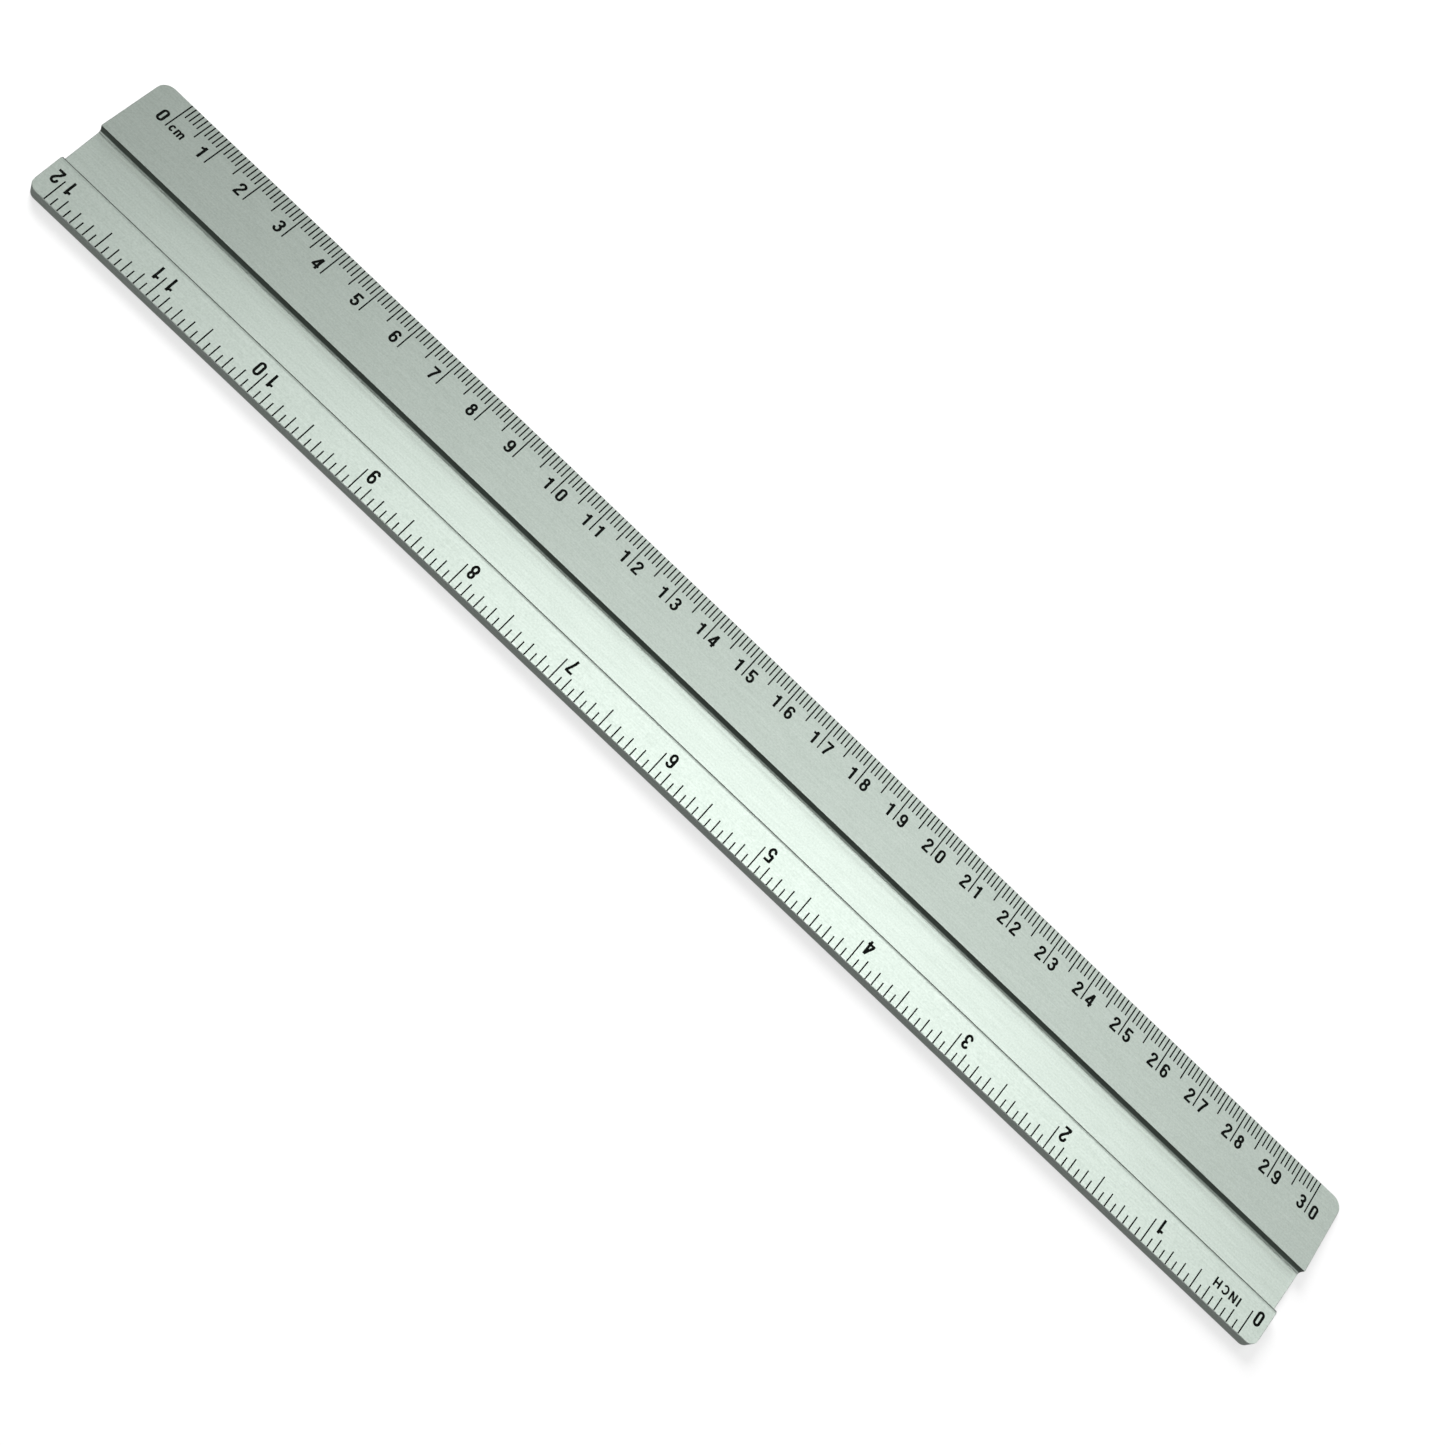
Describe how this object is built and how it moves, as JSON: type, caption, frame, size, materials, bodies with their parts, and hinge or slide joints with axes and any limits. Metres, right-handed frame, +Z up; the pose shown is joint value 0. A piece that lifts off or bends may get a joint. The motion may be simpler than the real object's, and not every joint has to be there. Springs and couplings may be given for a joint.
{
  "type": "scale ruler",
  "caption": "Flat aluminium ruler with a raised inch panel, a sunken finger channel, a sloping centimetre panel and rubber grip strips underneath.",
  "frame": {"origin": "middle of the footprint, on the surface that the ruler lies on, under the rubber strips", "axes": "+X along the ruler from its 0 cm end to its 30 cm end, +Y across it from the inch edge to the centimetre edge, +Z up out of the printed faces"},
  "size_m": [0.313, 0.0368, 0.0035],
  "materials": {
    "satin_aluminium": "satin silver anodising over a fine lengthwise grain",
    "grip_rubber": "matte",
    "scale_ink": "matte black screen-printed ink"
  },
  "bodies": {
    "root": {"ruler_body": "satin_aluminium", "grip_strip_inch_side": "grip_rubber", "grip_strip_cm_side": "grip_rubber"}
  },
  "joints": []
}
